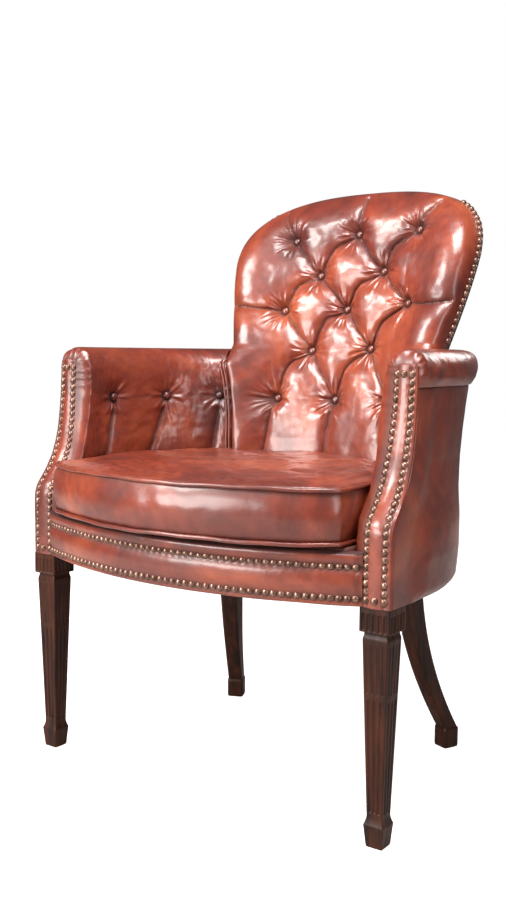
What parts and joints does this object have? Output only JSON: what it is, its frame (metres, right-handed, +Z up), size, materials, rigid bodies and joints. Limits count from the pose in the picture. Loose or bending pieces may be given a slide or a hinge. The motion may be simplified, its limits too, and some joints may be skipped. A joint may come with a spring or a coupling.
{
  "type": "armchair",
  "caption": "Tub-shaped library armchair in deep-buttoned leather with swept nailed arms, a bowed seat, a loose piped cushion, fluted front legs and sabre rear legs.",
  "frame": {"origin": "on the floor, midway between the cushion's front and the back's rearmost point, in the chair's plane of symmetry", "axes": "+Z up; -Y is the direction a sitter faces; +X is the sitter's left"},
  "size_m": [0.6838, 0.6446, 0.958],
  "materials": {
    "mahogany": "gloss",
    "beech": "satin",
    "screws": "satin",
    "webbing": "matt",
    "hessian": "matt",
    "dust_cloth": "matt",
    "leather": "gloss",
    "piping": "gloss",
    "buttons": "gloss",
    "nails": "antique",
    "foam": "matt",
    "zip": "matt"
  },
  "bodies": {
    "chair": {"front_leg_left": "mahogany", "front_leg_right": "mahogany", "rear_leg_left": "mahogany", "rear_leg_right": "mahogany", "front_seat_rail": "beech", "side_seat_rail_left": "beech", "side_seat_rail_right": "beech", "rear_seat_rail": "beech", "corner_blocks": "beech", "corner_block_screws": "screws", "arm_post_left": "beech", "arm_post_right": "beech", "arm_rail_left": "beech", "arm_rail_right": "beech", "back_upright_left": "beech", "back_upright_right": "beech", "crest_rail": "beech", "back_stay_rail": "beech", "seat_webbing_long": "webbing", "seat_webbing_cross": "webbing", "seat_hessian": "hessian", "seat_deck": "leather", "dust_cover": "dust_cloth", "back_webbing_long": "webbing", "back_webbing_cross": "webbing", "front_border": "leather", "inside_back_pad": "leather", "back_edge_roll": "leather", "outside_back_panel": "leather", "inside_arm_pad_left": "leather", "inside_arm_pad_right": "leather", "outside_arm_panel_left": "leather", "outside_arm_panel_right": "leather", "arm_facing_left": "leather", "arm_facing_right": "leather", "back_arm_welt_left": "piping", "back_arm_welt_right": "piping", "back_buttons": "buttons", "arm_buttons_left": "buttons", "arm_buttons_right": "buttons", "lower_border_nails_left": "nails", "lower_border_nails_right": "nails", "upper_border_nails_left": "nails", "upper_border_nails_right": "nails", "outer_facing_nails_left": "nails", "outer_facing_nails_right": "nails", "inner_facing_nails_left": "nails", "inner_facing_nails_right": "nails", "back_nails_left": "nails", "back_nails_right": "nails"},
    "seat_cushion": {"cushion_core": "foam", "cushion_top_panel": "leather", "cushion_bottom_panel": "leather", "cushion_border": "leather", "cushion_piping_top": "piping", "cushion_piping_bottom": "piping", "cushion_zip": "zip"}
  },
  "joints": [
    {"name": "cushion_lift", "type": "slide", "parent": "chair", "child": "seat_cushion", "axis": [0, -0.342, 0.9397], "range_m": [0, 0.3]}
  ]
}
